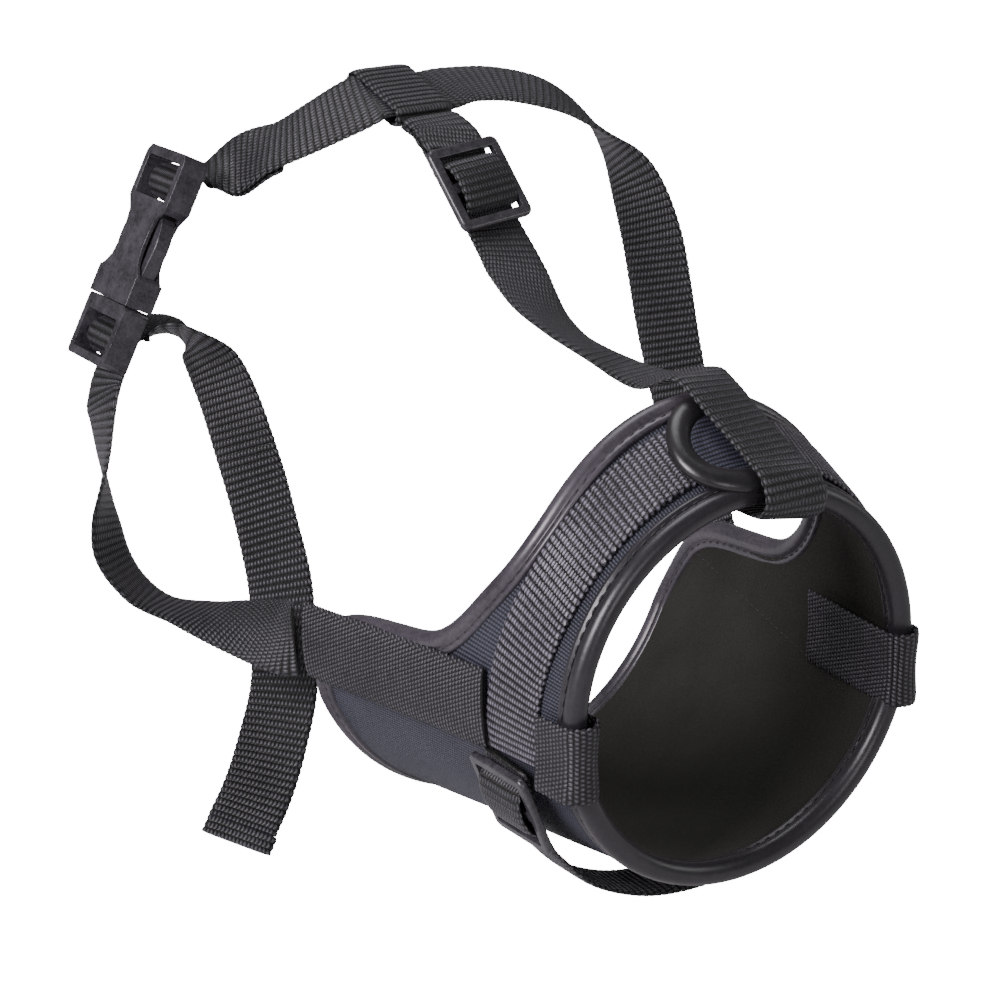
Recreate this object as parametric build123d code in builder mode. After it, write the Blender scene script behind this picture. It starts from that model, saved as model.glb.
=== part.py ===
"""Soft padded sleeve muzzle for a medium to large dog, with its webbing harness.

Frame: origin at the centre of the front opening, X across the muzzle (the dog's right is -X),
Y runs back toward the dog's head (the nose points along -Y), Z up. Units mm.
"""
import os

from build123d import *

os.makedirs("parts", exist_ok=True)

# ---------------------------------------------------------------- driving dimensions
WEB_W = 20.0              # webbing width
WEB_T = 1.5               # webbing thickness
BAND_T = 1.2              # thinner webbing of the nose band
SHELL_T = 1.8             # outer nylon with foam backing
LINING_T = 1.9            # suede-like lining
FACE_GAP = 0.3            # between faces of neighbouring layers
TAPE_T = 0.6              # binding tape
TAPE_W = 6.0              # binding tape width on each side of an edge
RIM_HALF_W = 55.5         # front opening, half width
RIM_TOP = 53.0            # front opening, centre to top
RIM_BOTTOM = 54.0         # front opening, centre to bottom
SPREAD_W = 0.09           # growth of the half width per mm toward the head
SPREAD_TOP = 0.62         # rise of the bridge per mm toward the head
SPREAD_BOTTOM = 0.12      # drop of the underside per mm toward the head
BRIDGE_LEN = 29.5         # bridge length at the top
WING_END = 104.5          # wing tip, top corner
BACK_EDGE = 111.0         # underside length
BIG = 95.0                # reach of the cutting profiles

BUCKLE_W = 27.0
BUCKLE_T = 7.6
SOCKET_L = 45.7
PLUG_L = 18.7
SPLIT = 0.15              # half of the gap between plug and socket
COLLAR_L = 9.5            # mouth of the socket that swallows the prongs

# Back edge of the sleeve in side view, (y, z) from the bridge to the wing tip
EDGE = [(BRIDGE_LEN, 92), (BRIDGE_LEN, 70), (BRIDGE_LEN, 52), (30.6, 43), (33.6, 34.5), (39, 26),
        (45.5, 17.5), (52.5, 11.5), (60, 8.4), (72, 6.6), (88, 5), (WING_END, 3.4)]
TIP_LOW = (110.0, -20.0)  # wing tip, bottom corner


# ---------------------------------------------------------------- helpers
def section(y, inset):
    """Sleeve cross-section at depth y, moved inward by inset."""
    w = RIM_HALF_W + SPREAD_W * y - inset
    top = RIM_TOP + SPREAD_TOP * y - inset
    low = RIM_BOTTOM + SPREAD_BOTTOM * y - inset
    with BuildSketch(Plane(origin=(0, y, 0), x_dir=(1, 0, 0), z_dir=(0, -1, 0))) as s:
        with BuildLine():
            EllipticalCenterArc((0, 0), w, top, start_angle=0, arc_size=180)
            EllipticalCenterArc((0, 0), w, low, start_angle=180, arc_size=180)
        make_face()
    return s.sketch


def tube(outer, inner):
    """Open-ended sleeve between two insets (negative insets lie outside the nylon)."""
    with BuildPart() as p:
        loft(sections=[section(-8, outer), section(120, outer)], ruled=True)
        loft(sections=[section(-8, inner), section(120, inner)], ruled=True, mode=Mode.SUBTRACT)
    return p.part


def side_prism(points):
    """Straight-sided profile given in side view, extruded through the whole width."""
    with BuildPart() as p:
        with BuildSketch(Plane.YZ):
            with BuildLine():
                Polyline(*points, close=True)
            make_face()
        extrude(amount=BIG, both=True)
    return p.part


def inset_edge(distance):
    """Points of the back edge moved into the material by distance."""
    curve = Spline(*EDGE)
    pts = []
    for k in range(25):
        p, t = curve @ (k / 24), curve % (k / 24)
        pts.append((p.X + distance * t.Y, p.Y - distance * t.X))
    return pts


def back_profile(distance, front, tip_in):
    """Sleeve side profile whose back edge is inset by distance and whose front is at y=front."""
    pts = inset_edge(distance)
    end = (TIP_LOW[0] - tip_in, TIP_LOW[1])
    with BuildPart() as p:
        with BuildSketch(Plane.YZ):
            with BuildLine():
                Spline(*pts)
                Polyline(pts[-1], end, (BACK_EDGE - tip_in, -BIG), (front, -BIG), (front, 92), pts[0])
            make_face()
        extrude(amount=BIG, both=True)
    return p.part


def edge_strip(near, far, first=0, last=24):
    """Strip of the side view between two insets of the back edge."""
    a, b = inset_edge(near)[first:last + 1], inset_edge(far)[first:last + 1]
    with BuildPart() as p:
        with BuildSketch(Plane.YZ):
            with BuildLine():
                Spline(*a)
                Line(a[-1], b[-1])
                Spline(*b)
                Line(b[0], a[0])
            make_face()
        extrude(amount=BIG, both=True)
    return p.part


def smooth(stations, per=6):
    """Catmull-Rom run through (centre, width direction) stations, per steps to each span."""
    rows = [list(c) + list(Vector(*w).normalized()) for c, w in stations]
    ends = [2 * a - b for a, b in zip(rows[0], rows[1])], [2 * a - b for a, b in zip(rows[-1], rows[-2])]
    rows = [ends[0]] + rows + [ends[1]]
    out = []
    for i in range(1, len(rows) - 2):
        for k in range(per):
            t = k / per
            out.append([0.5 * (2 * b + (c - a) * t + (2 * a - 5 * b + 4 * c - d) * t * t
                               + (3 * b - a - 3 * c + d) * t ** 3)
                        for a, b, c, d in zip(*rows[i - 1:i + 3])])
    out.append(rows[-2])
    return [(tuple(r[:3]), tuple(r[3:])) for r in out]


def strap_sections(stations, width=WEB_W, thick=WEB_T):
    """Webbing cross-sections at (centre, width direction) stations, square to the path."""
    faces = []
    last = len(stations) - 1
    for i, (c, w) in enumerate(stations):
        run = Vector(*stations[min(last, i + 1)][0]) - Vector(*stations[max(0, i - 1)][0])
        run = run.normalized()
        across = Vector(*w)
        across = (across - run * across.dot(run)).normalized()
        with BuildSketch(Plane(origin=c, x_dir=across, z_dir=run)) as s:
            Rectangle(width, thick)
        faces.append(s.sketch)
    return faces


def saddle(plane, reach, rise, half_w, thick=WEB_T):
    """Short webbing wrap over a bar: an arch in the plane's YZ, half_w to each side in X."""
    with BuildPart() as p:
        with BuildSketch(Plane(origin=plane.origin, x_dir=plane.y_dir, z_dir=plane.x_dir)):
            with BuildLine():
                ThreePointArc((-reach, 0), (0, rise), (reach, 0))
                Line((reach, 0), (reach - thick, 0))
                ThreePointArc((reach - thick, 0), (0, rise - thick), (-reach + thick, 0))
                Line((-reach + thick, 0), (-reach, 0))
            make_face()
        extrude(amount=half_w, both=True)
    return p.part


def tri_glide(plane, width, length, thick, bar, rail):
    """Strap adjuster: flat frame with a centre bar, lying in the given plane."""
    slot = length / 2 - rail - bar / 2
    with BuildPart() as p:
        with BuildSketch(plane.offset(-thick / 2)):
            RectangleRounded(width, length, 2.4)
            with Locations((0, (bar + slot) / 2), (0, -(bar + slot) / 2)):
                Rectangle(width - 2 * rail, slot, mode=Mode.SUBTRACT)
        extrude(amount=thick)
        rims = p.faces().filter_by(Axis(plane.origin, plane.z_dir)).sort_by(Axis(plane.origin, plane.z_dir))
        chamfer(rims[-1].outer_wire().edges(), 0.5)
    return p.part


def shifted(stations, distance):
    """The same webbing run lifted off its own face by distance."""
    out = []
    last = len(stations) - 1
    for i, (c, w) in enumerate(stations):
        run = Vector(*stations[min(last, i + 1)][0]) - Vector(*stations[max(0, i - 1)][0])
        lift = run.cross(Vector(*w)).normalized() * distance
        out.append((tuple(Vector(*c) + lift), w))
    return out


# ---------------------------------------------------------------- buckle axes
# x: width, toward the nose; y: along the buckle, up to the socket; z: away from the neck
BUCKLE = Plane(origin=(-72, 196, 67), x_dir=(-0.108, -0.992, 0.068), z_dir=(-0.878, 0.127, 0.463))


def on_buckle(x, y, z):
    """Point given on the buckle axes, as model coordinates."""
    return tuple(BUCKLE.from_local_coords(Vector(x, y, z)))


WIDTH_DIR = tuple(BUCKLE.x_dir)

# ---------------------------------------------------------------- strap runs: (centre), (width)
CHEEK = [((-68.6, 109.2, -8.4), (0, 0.1, -1)), ((-68.8, 116, -9.6), (-0.4, -0.1, -0.9)),
         ((-68, 131, -12.5), (-0.7, -0.3, -0.6)), ((-69.5, 146, -14.5), (-0.9, -0.3, -0.3)),
         ((-73, 158, -15.5), (-0.9, -0.4, 0)), ((-79, 168, -14.5), (-0.9, -0.5, 0.2)),
         ((-84, 174, -9), (-0.9, -0.5, 0.3)), ((-87, 179, -1), (-0.85, -0.5, 0.3)),
         ((-87, 182, 8), (-0.75, -0.6, 0.3)), ((-85.5, 184.5, 17), (-0.55, -0.8, 0.3)),
         ((-84, 187, 26), (-0.3, -0.95, 0.25)), ((-82, 190.5, 37), (-0.1, -1, 0.2)),
         (on_buckle(1.2, -24.5, -5.1), WIDTH_DIR), (on_buckle(0.2, -19, -5), WIDTH_DIR),
         (on_buckle(0, -14.4, -4.95), WIDTH_DIR)]
KEEPER_ACROSS, KEEPER_ALONG = (0.07, -0.935, -0.36), (0.995, 0.09, -0.04)
NECK = [(on_buckle(0, 40.6, -5.1), WIDTH_DIR), (on_buckle(0.6, 43.2, -8.9), WIDTH_DIR),
        ((-37, 189.5, 103.5), (-0.14, -0.86, -0.42)),
        ((-31, 178.8, 109.7), (-0.25, -0.92, -0.25)), ((-22.5, 168.6, 117), (-0.15, -0.92, -0.35)),
        ((-11.3, 159.2, 124.8), KEEPER_ACROSS), ((-5.4, 159.76, 124.54), KEEPER_ACROSS),
        ((6.6, 160.84, 124.06), KEEPER_ACROSS), ((12.5, 161.4, 123.8), KEEPER_ACROSS),
        ((22.5, 162.6, 124.2), (-0.1, -0.93, -0.3)), ((36, 159.8, 123), (-0.3, -0.9, -0.3)),
        ((48.5, 153.4, 119.2), (-0.35, -0.85, -0.25)), ((57.5, 148.2, 112.4), (-0.35, -0.9, -0.1)),
        ((63.5, 144.2, 104.6), (-0.15, -0.95, 0.1)), ((67.5, 138, 94), (0.2, -0.9, 0.3)),
        ((70, 133, 80), (0.4, -0.85, 0.3)), ((70.5, 128.5, 64), (0.45, -0.85, 0.25)),
        ((70.2, 123, 47), (0.4, -0.85, 0.3)), ((70.2, 117, 31), (0.3, -0.85, 0.35)),
        ((70.4, 110.5, 16), (0.12, -0.8, 0.55)), ((70.1, 104.5, 5), (0.05, -0.75, 0.65)),
        ((69.6, 98.5, -5), (0, -0.7, 0.7))]
GLIDE_DIR = (0.98, 0.2, 0.007)
FOREHEAD = [((9.5, 13, 44.4), (1, 0, -0.2)), ((9.5, 5, 44.2), (1, 0, -0.2)),
            ((9.5, -3, 45.2), (1, 0, -0.18)), ((9.6, -6.2, 50.2), (1, 0, -0.15)),
            ((9.6, -3.4, 55.8), (1, 0, -0.16)), ((9.4, 3, 59), (1, 0.05, -0.18)),
            ((8.6, 10, 63.3), (1, 0.1, -0.18)), ((7.4, 17, 67.7), (1, 0.15, -0.16)),
            ((6.6, 24, 72.1), (1, 0.2, -0.12)), ((6.2, 30.5, 74.2), (1, 0.25, -0.1)),
            ((6, 38, 72), (0.95, 0.3, -0.05)), ((5.4, 46.5, 69), (0.95, 0.35, -0.05)),
            ((3, 56, 69.8), (0.85, 0.45, -0.1)), ((-1, 65, 73), (0.85, 0.45, -0.2)),
            ((-3.5, 74.8, 76), (0.9, 0.4, -0.25)), ((-3.6, 86.3, 79.6), (0.95, 0.3, -0.2)),
            ((-1, 97.5, 83.8), (0.97, 0.22, -0.1)), ((1.8, 107.5, 88.2), (0.98, 0.2, -0.02)),
            ((2.6, 116.5, 95), GLIDE_DIR), ((1.2, 124, 105), GLIDE_DIR),
            ((0.1, 130.4, 113.5), GLIDE_DIR), ((0.8, 134.6, 116.2), (0.98, 0.16, -0.02)),
            ((2.2, 140.1, 118.3), (0.99, 0.1, -0.04)), ((1.6, 146.4, 120.5), KEEPER_ALONG)]
TAIL = [(on_buckle(0, -8.2, -5.2), WIDTH_DIR), (on_buckle(0.4, -6, -7.5), WIDTH_DIR),
        (on_buckle(2.6, -2.8, -12.4), (-0.5, -0.85, -0.1)),
        ((-58, 183, 57), (-0.1, -0.9, 0.35)), ((-52.5, 179, 50), (0.35, -0.85, 0.4)),
        ((-49, 174, 37), (0.5, -0.8, 0.4)), ((-47.2, 167, 19.5), (0.55, -0.75, 0.35)),
        ((-47.2, 159, 4.5), (0.55, -0.75, 0.35)), ((-48, 151.5, -10), (0.6, -0.75, 0.25)),
        ((-50.5, 145.5, -24), (0.6, -0.8, 0.15)), ((-55, 139.5, -38), (0.65, -0.75, 0)),
        ((-64, 132, -50.5), (0.7, -0.7, -0.1)), ((-73, 125.5, -60), (0.7, -0.65, -0.15)),
        ((-80, 121.1, -65.8), (0.7, -0.65, -0.2))]
TAIL_END = [((-80.3, 120.9, -66), (0.7, -0.65, -0.2)), ((-84, 118.7, -69), (0.7, -0.65, -0.2))]
CHIN = [((-58.5, 24.2, -14.9), (0, 1, 0)), ((-57, 24.8, -18.5), (0, 1, 0)),
        ((-53.25, 26, -27.6), (0, 1, 0)), ((-48.7, 26.3, -38.6), (0, 1, 0)),
        ((-44, 26, -45.2), (0, 1, 0)), ((-34, 25, -54.6), (0, 1, 0)), ((-18, 24, -61.4), (0, 1, 0)),
        ((0, 24, -63.5), (0, 1, 0)), ((18, 24, -61.8), (0, 1, 0)), ((34, 24, -55), (0, 1, 0)),
        ((46, 24, -45), (0, 1, 0)), ((54, 23.5, -32), (0, 1, 0)), ((57.6, 23, -21), (0, 1, 0)),
        ((58.7, 23, -13.4), (0, 1, 0))]

# ---------------------------------------------------------------- reused cutting bodies
layer_shell = tube(0, SHELL_T)
layer_lining = tube(SHELL_T + FACE_GAP, SHELL_T + FACE_GAP + LINING_T)
WALL = SHELL_T + FACE_GAP + LINING_T
layer_channel = tube(-FACE_GAP, WALL + FACE_GAP)
layer_tape = tube(-FACE_GAP - TAPE_T, WALL + FACE_GAP + TAPE_T)
layer_band = tube(-0.3 - BAND_T, -0.3)
layer_wing = tube(-1.1 - WEB_T, -1.1)
sleeve_cut = back_profile(1.5, 1.5, 0.4)

# ---------------------------------------------------------------- sleeve
with BuildPart() as outer_shell:
    add(layer_shell)
    add(sleeve_cut, mode=Mode.INTERSECT)
outer_shell.part.label = "outer_shell"
export_step(outer_shell.part, "parts/outer_shell.step")

with BuildPart() as lining:
    add(layer_lining)
    add(sleeve_cut, mode=Mode.INTERSECT)
lining.part.label = "lining"
export_step(lining.part, "parts/lining.step")

rim_zone = side_prism([(-1.5, -BIG), (TAPE_W, -BIG), (TAPE_W, BIG), (-1.5, BIG)])
rim_core = side_prism([(1.2, -BIG), (TAPE_W + 1, -BIG), (TAPE_W + 1, BIG), (1.2, BIG)])
upper_zone = side_prism([(-9, -5.5), (20, -5.5), (20, BIG), (-9, BIG)])
lower_zone = side_prism([(-9, -5.8), (20, -5.8), (20, -BIG), (-9, -BIG)])

with BuildPart() as rim_channel_core:
    add(layer_channel)
    add(rim_core, mode=Mode.INTERSECT)

with BuildPart() as rim_binding_bridge:
    add(layer_tape)
    add(rim_zone, mode=Mode.INTERSECT)
    add(rim_channel_core.part, mode=Mode.SUBTRACT)
    add(upper_zone, mode=Mode.INTERSECT)
rim_binding_bridge.part.label = "rim_binding_bridge"
export_step(rim_binding_bridge.part, "parts/rim_binding_bridge.step")

with BuildPart() as rim_binding_chin:
    add(layer_tape)
    add(rim_zone, mode=Mode.INTERSECT)
    add(rim_channel_core.part, mode=Mode.SUBTRACT)
    add(lower_zone, mode=Mode.INTERSECT)
rim_binding_chin.part.label = "rim_binding_chin"
export_step(rim_binding_chin.part, "parts/rim_binding_chin.step")

notch_core = edge_strip(1.2, TAPE_W + 1)
with BuildPart() as notch_channel_core:
    add(layer_channel)
    add(notch_core, mode=Mode.INTERSECT)

with BuildPart() as notch_binding:
    add(layer_tape)
    add(edge_strip(0, TAPE_W), mode=Mode.INTERSECT)
    add(notch_channel_core.part, mode=Mode.SUBTRACT)
notch_binding.part.label = "notch_binding"
export_step(notch_binding.part, "parts/notch_binding.step")

low_zone = side_prism([(107, -21), (BACK_EDGE + 0.8, -21), (BACK_EDGE + 0.8, -BIG), (107, -BIG)])
low_core = side_prism([(106, -20), (BACK_EDGE - 0.1, -20), (BACK_EDGE - 0.1, -BIG), (106, -BIG)])
with BuildPart() as low_channel_core:
    add(layer_channel)
    add(low_core, mode=Mode.INTERSECT)

with BuildPart() as lower_edge_binding:
    add(layer_tape)
    add(low_zone, mode=Mode.INTERSECT)
    add(low_channel_core.part, mode=Mode.SUBTRACT)
lower_edge_binding.part.label = "lower_edge_binding"
export_step(lower_edge_binding.part, "parts/lower_edge_binding.step")

# ---------------------------------------------------------------- trim sewn on the sleeve
band_cut = side_prism([(6, BIG), (6, 50), (7, 37), (9, 25), (10.8, 14), (12, 0), (13, -12.5),
                       (31.8, -12.5), (30.6, 0), (29.4, 11), (25.4, 25), (22.8, 37), (22.3, 50),
                       (21, 60), (20.8, BIG)])
with BuildPart() as nose_band:
    add(layer_band)
    add(band_cut, mode=Mode.INTERSECT)
nose_band.part.label = "nose_band"
export_step(nose_band.part, "parts/nose_band.step")

wing_cut = side_prism([(31.2, 8.3), (57, 6.2), (80, 4.6), (106.8, 2.6), (108.4, -18.6), (99, -17.8),
                       (80, -15.6), (60, -13.8), (33.4, -13.8)])
right_half = Box(200, 400, 400).moved(Location((-100, 0, 0)))
left_half = Box(200, 400, 400).moved(Location((100, 0, 0)))

with BuildPart() as wing_strap_right:
    add(layer_wing)
    add(wing_cut, mode=Mode.INTERSECT)
    add(right_half, mode=Mode.INTERSECT)
wing_strap_right.part.label = "wing_strap_right"
export_step(wing_strap_right.part, "parts/wing_strap_right.step")

with BuildPart() as wing_strap_left:
    add(layer_wing)
    add(wing_cut, mode=Mode.INTERSECT)
    add(left_half, mode=Mode.INTERSECT)
wing_strap_left.part.label = "wing_strap_left"
export_step(wing_strap_left.part, "parts/wing_strap_left.step")

TAB_OUT = -1.3            # inner face of the outside leg, measured outward from the nylon
TAB_IN = WALL + 1.3       # outer face of the inside leg
tab_block = tube(TAB_OUT - WEB_T, TAB_IN + WEB_T)
tab_hollow = tube(TAB_OUT, TAB_IN)
tab_zone = side_prism([(-3.3, 4.8), (36, 2.4), (37, -18.6), (-3.3, -16.8)])
tab_inside = side_prism([(-1.7, BIG), (60, BIG), (60, -BIG), (-1.7, -BIG)])
tab_trim = side_prism([(10.4, BIG), (60, BIG), (60, -BIG), (10.4, -BIG)])

with BuildPart() as tab_gap:
    add(tab_hollow)
    add(tab_inside, mode=Mode.INTERSECT)

with BuildPart() as tab_outer_trim:
    add(tube(TAB_OUT - WEB_T - 1, 1))
    add(tab_trim, mode=Mode.INTERSECT)

with BuildPart() as side_tab_right:
    add(tab_block)
    add(tab_zone, mode=Mode.INTERSECT)
    add(tab_gap.part, mode=Mode.SUBTRACT)
    add(tab_outer_trim.part, mode=Mode.SUBTRACT)
    add(right_half, mode=Mode.INTERSECT)
side_tab_right.part.label = "side_tab_right"
export_step(side_tab_right.part, "parts/side_tab_right.step")

with BuildPart() as side_tab_left:
    add(tab_block)
    add(tab_zone, mode=Mode.INTERSECT)
    add(tab_gap.part, mode=Mode.SUBTRACT)
    add(tab_outer_trim.part, mode=Mode.SUBTRACT)
    add(left_half, mode=Mode.INTERSECT)
side_tab_left.part.label = "side_tab_left"
export_step(side_tab_left.part, "parts/side_tab_left.step")

# oval patch over the middle of the bridge
PATCH_C = (2.0, 12.5)
PATCH_R = (17.0, 14.0)
PATCH_EDGE = 4.0
with BuildPart() as patch_oval:
    with BuildSketch(Plane.XY.offset(30)):
        with Locations(PATCH_C):
            Ellipse(*PATCH_R)
    extrude(amount=70)
with BuildPart() as patch_oval_inner:
    with BuildSketch(Plane.XY.offset(30)):
        with Locations(PATCH_C):
            Ellipse(PATCH_R[0] - PATCH_EDGE, PATCH_R[1] - PATCH_EDGE)
    extrude(amount=70)
with BuildPart() as patch_core_tool:
    with BuildSketch(Plane.XY.offset(30)):
        with Locations(PATCH_C):
            Ellipse(PATCH_R[0] - PATCH_EDGE - 0.2, PATCH_R[1] - PATCH_EDGE - 0.2)
    extrude(amount=70)

with BuildPart() as bridge_patch:
    add(tube(-2.5, -1.7))
    add(patch_core_tool.part, mode=Mode.INTERSECT)
bridge_patch.part.label = "bridge_patch"
export_step(bridge_patch.part, "parts/bridge_patch.step")

with BuildPart() as bridge_patch_binding:
    add(tube(-3.1, -1.7))
    add(patch_oval.part, mode=Mode.INTERSECT)
    add(patch_oval_inner.part, mode=Mode.SUBTRACT)
bridge_patch_binding.part.label = "bridge_patch_binding"
export_step(bridge_patch_binding.part, "parts/bridge_patch_binding.step")

# ---------------------------------------------------------------- webbing harness
FOREHEAD_RUN, NECK_RUN = smooth(FOREHEAD), smooth(NECK)
with BuildPart() as forehead_strap:
    loft(sections=strap_sections(FOREHEAD_RUN), ruled=True)
forehead_strap.part.label = "forehead_strap"
export_step(forehead_strap.part, "parts/forehead_strap.step")

with BuildPart() as forehead_strap_return:
    loft(sections=strap_sections(shifted(FOREHEAD_RUN[117:], 2.0)), ruled=True)
forehead_strap_return.part.label = "forehead_strap_return"
export_step(forehead_strap_return.part, "parts/forehead_strap_return.step")

with BuildPart() as neck_strap:
    loft(sections=strap_sections(NECK_RUN), ruled=True)
neck_strap.part.label = "neck_strap"
export_step(neck_strap.part, "parts/neck_strap.step")

with BuildPart() as neck_strap_hem:
    loft(sections=strap_sections(shifted(NECK_RUN[12:21], 1.9)), ruled=True)
neck_strap_hem.part.label = "neck_strap_hem"
export_step(neck_strap_hem.part, "parts/neck_strap_hem.step")

with BuildPart() as cheek_strap:
    loft(sections=strap_sections(smooth(CHEEK)), ruled=True)
cheek_strap.part.label = "cheek_strap"
export_step(cheek_strap.part, "parts/cheek_strap.step")

with BuildPart() as strap_tail:
    loft(sections=strap_sections(smooth(TAIL)), ruled=True)
strap_tail.part.label = "strap_tail"
export_step(strap_tail.part, "parts/strap_tail.step")

with BuildPart() as strap_tail_seal:
    loft(sections=strap_sections(TAIL_END, width=WEB_W + 0.6, thick=WEB_T + 0.4), ruled=True)
strap_tail_seal.part.label = "strap_tail_seal"
export_step(strap_tail_seal.part, "parts/strap_tail_seal.step")

with BuildPart() as chin_strap:
    loft(sections=strap_sections(smooth(CHIN), width=18.0), ruled=True)
chin_strap.part.label = "chin_strap"
export_step(chin_strap.part, "parts/chin_strap.step")

# keeper: flattened webbing ring around the neck strap, sewn to the end of the forehead strap
KEEPER = Plane(origin=(0.6, 160.3, 124.3), x_dir=KEEPER_ACROSS, z_dir=KEEPER_ALONG)
with BuildPart() as keeper_loop:
    with BuildSketch(KEEPER.offset(-WEB_W / 2)):
        RectangleRounded(WEB_W + 5.4, 6.4, 2.6)
        RectangleRounded(WEB_W + 2.4, 3.4, 1.2, mode=Mode.SUBTRACT)
    extrude(amount=WEB_W)
keeper_loop.part.label = "keeper_loop"
export_step(keeper_loop.part, "parts/keeper_loop.step")

# ---------------------------------------------------------------- sliders
GLIDE_TOP = Plane(origin=(1.59, 122.03, 106.51), x_dir=GLIDE_DIR, z_dir=(0.155, -0.781, 0.61))
GLIDE_CHIN = Plane(origin=(-55.35, 26, -28.35), x_dir=(0, 1, 0), z_dir=(-0.924, 0, -0.381))

forehead_slider = tri_glide(GLIDE_TOP, 27.0, 25.0, 2.0, 3.0, 3.0)
forehead_slider.label = "forehead_slider"
export_step(forehead_slider, "parts/forehead_slider.step")

forehead_slider_wrap = saddle(GLIDE_TOP.offset(-1.0), 8.2, 4.3, WEB_W / 2, 1.3)
forehead_slider_wrap.label = "forehead_slider_wrap"
export_step(forehead_slider_wrap, "parts/forehead_slider_wrap.step")

chin_slider = tri_glide(GLIDE_CHIN, 24.0, 25.0, 2.0, 3.0, 2.6)
chin_slider.label = "chin_slider"
export_step(chin_slider, "parts/chin_slider.step")

chin_slider_wrap = saddle(GLIDE_CHIN.offset(-1.0), 8.2, 4.3, 9.0, 1.3)
chin_slider_wrap.label = "chin_slider_wrap"
export_step(chin_slider_wrap, "parts/chin_slider_wrap.step")

# ---------------------------------------------------------------- side-release buckle
HALF = BUCKLE_W / 2
SOCKET_OUTLINE = [(-HALF, SPLIT), (HALF, SPLIT), (HALF, COLLAR_L - 1), (HALF - 1.4, COLLAR_L),
                  (9.6, COLLAR_L + 2.5), (8.6, 16), (8.6, 22), (9.6, 26), (HALF, 30),
                  (HALF, SOCKET_L - 2), (HALF - 2, SOCKET_L), (-HALF + 2, SOCKET_L),
                  (-HALF, SOCKET_L - 2), (-HALF, 30), (-9.6, 26), (-8.6, 22), (-8.6, 16),
                  (-9.6, COLLAR_L + 2.5), (-HALF + 1.4, COLLAR_L), (-HALF, COLLAR_L - 1)]
CAVITY = (24.0, 5.4)      # mouth cavity, across and thick
WINDOW = (21.6, 11.6)     # strap windows


def strap_bar(y, z):
    """Round bar across a strap window."""
    axis = Plane(origin=BUCKLE.from_local_coords(Vector(0, y, z)), x_dir=BUCKLE.y_dir,
                 z_dir=BUCKLE.x_dir)
    with BuildPart() as p:
        with BuildSketch(axis.offset(-WINDOW[0] / 2 - 0.6)):
            Circle(1.4)
        extrude(amount=WINDOW[0] + 1.2)
    return p.part


socket_bar = strap_bar(37, -1.2)
plug_bar = strap_bar(-10.4, -1.2)

with BuildPart() as buckle_socket:
    with BuildSketch(BUCKLE.offset(-BUCKLE_T / 2)):
        with BuildLine():
            Polyline(*SOCKET_OUTLINE, close=True)
        make_face()
    extrude(amount=BUCKLE_T)
    with BuildSketch(BUCKLE.offset(-BUCKLE_T / 2 - 0.5)):
        with Locations((0, (SPLIT + COLLAR_L - 1) / 2)):
            Rectangle(BUCKLE_W, COLLAR_L - 1 - SPLIT)
    extrude(amount=BUCKLE_T + 1)
    with BuildSketch(BUCKLE.offset(-CAVITY[1] / 2)):
        with Locations((0, 13.5)):
            Rectangle(CAVITY[0], 29)
    extrude(amount=CAVITY[1], mode=Mode.SUBTRACT)
    with BuildSketch(BUCKLE.offset(-BUCKLE_T)):
        with Locations((0, 37)):
            RectangleRounded(WINDOW[0], WINDOW[1], 1.0)
    extrude(amount=2 * BUCKLE_T, mode=Mode.SUBTRACT)
    add(socket_bar)
buckle_socket.part.label = "buckle_socket"
export_step(buckle_socket.part, "parts/buckle_socket.step")

with BuildPart() as buckle_plug:
    with BuildSketch(BUCKLE.offset(-BUCKLE_T / 2)):
        with Locations((0, (-SPLIT - PLUG_L) / 2)):
            RectangleRounded(BUCKLE_W, PLUG_L - SPLIT, 1.6)
    extrude(amount=BUCKLE_T)
    with BuildSketch(BUCKLE.offset(-1.8)):
        with Locations((0, 6.2)):
            Rectangle(5.0, 13.6)
    extrude(amount=3.6)
    with BuildSketch(BUCKLE.offset(-BUCKLE_T)):
        with Locations((0, -10.4)):
            RectangleRounded(WINDOW[0], WINDOW[1], 1.0)
    extrude(amount=2 * BUCKLE_T, mode=Mode.SUBTRACT)
    add(plug_bar)
buckle_plug.part.label = "buckle_plug"
export_step(buckle_plug.part, "parts/buckle_plug.step")

ARM = [(9.0, 0.4), (11.6, 0.4), (11.6, 9.7), (12.9, 18.0), (12.7, 21.0), (11.2, 25.5), (10.0, 27.0),
       (8.6, 26.4), (8.8, 20.0), (9.0, 10.0)]


def prong(side):
    """Flexible side prong on one side of the buckle."""
    with BuildPart() as p:
        with BuildSketch(BUCKLE.offset(-2.2)):
            with BuildLine():
                Polyline(*[(side * x, y) for x, y in ARM], close=True)
            make_face()
        extrude(amount=4.4)
    return p.part


prong_front = prong(1)
prong_front.label = "prong_front"
export_step(prong_front, "parts/prong_front.step")

prong_back = prong(-1)
prong_back.label = "prong_back"
export_step(prong_back, "parts/prong_back.step")

SOCKET_WRAP_AT = Plane(origin=BUCKLE.from_local_coords(Vector(0, 37, -3.2)), x_dir=BUCKLE.x_dir,
                       z_dir=BUCKLE.z_dir)
socket_strap_wrap = saddle(SOCKET_WRAP_AT, 5.5, 5.4, WEB_W / 2)
socket_strap_wrap.label = "socket_strap_wrap"
export_step(socket_strap_wrap, "parts/socket_strap_wrap.step")

PLUG_WRAP_AT = Plane(origin=BUCKLE.from_local_coords(Vector(0, -10.4, -3.2)), x_dir=BUCKLE.x_dir,
                     z_dir=BUCKLE.z_dir)
plug_strap_wrap = saddle(PLUG_WRAP_AT, 5.5, 5.4, WEB_W / 2)
plug_strap_wrap.label = "plug_strap_wrap"
export_step(plug_strap_wrap, "parts/plug_strap_wrap.step")
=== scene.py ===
import math

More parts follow.
